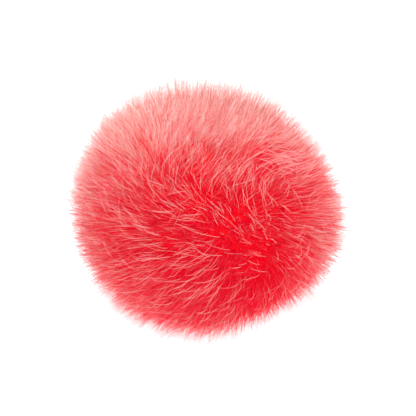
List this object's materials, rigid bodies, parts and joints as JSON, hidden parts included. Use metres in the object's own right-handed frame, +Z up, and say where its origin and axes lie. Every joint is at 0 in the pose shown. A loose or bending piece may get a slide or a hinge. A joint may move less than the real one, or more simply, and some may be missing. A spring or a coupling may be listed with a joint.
{
  "type": "fur pom pom",
  "caption": "Round ball of long combed fur pile, with a small flat spot underneath where it is gathered, to rest on or to sew down.",
  "frame": {"origin": "middle of the flat spot underneath, on the plane the ball rests on", "axes": "+Z up through the ball, -Y towards the front"},
  "size_m": [0.0996, 0.0973, 0.0887],
  "materials": {
    "fur": "dyed long fur pile, soft sheen"
  },
  "bodies": {
    "root": {"pompom": "fur"}
  },
  "joints": []
}
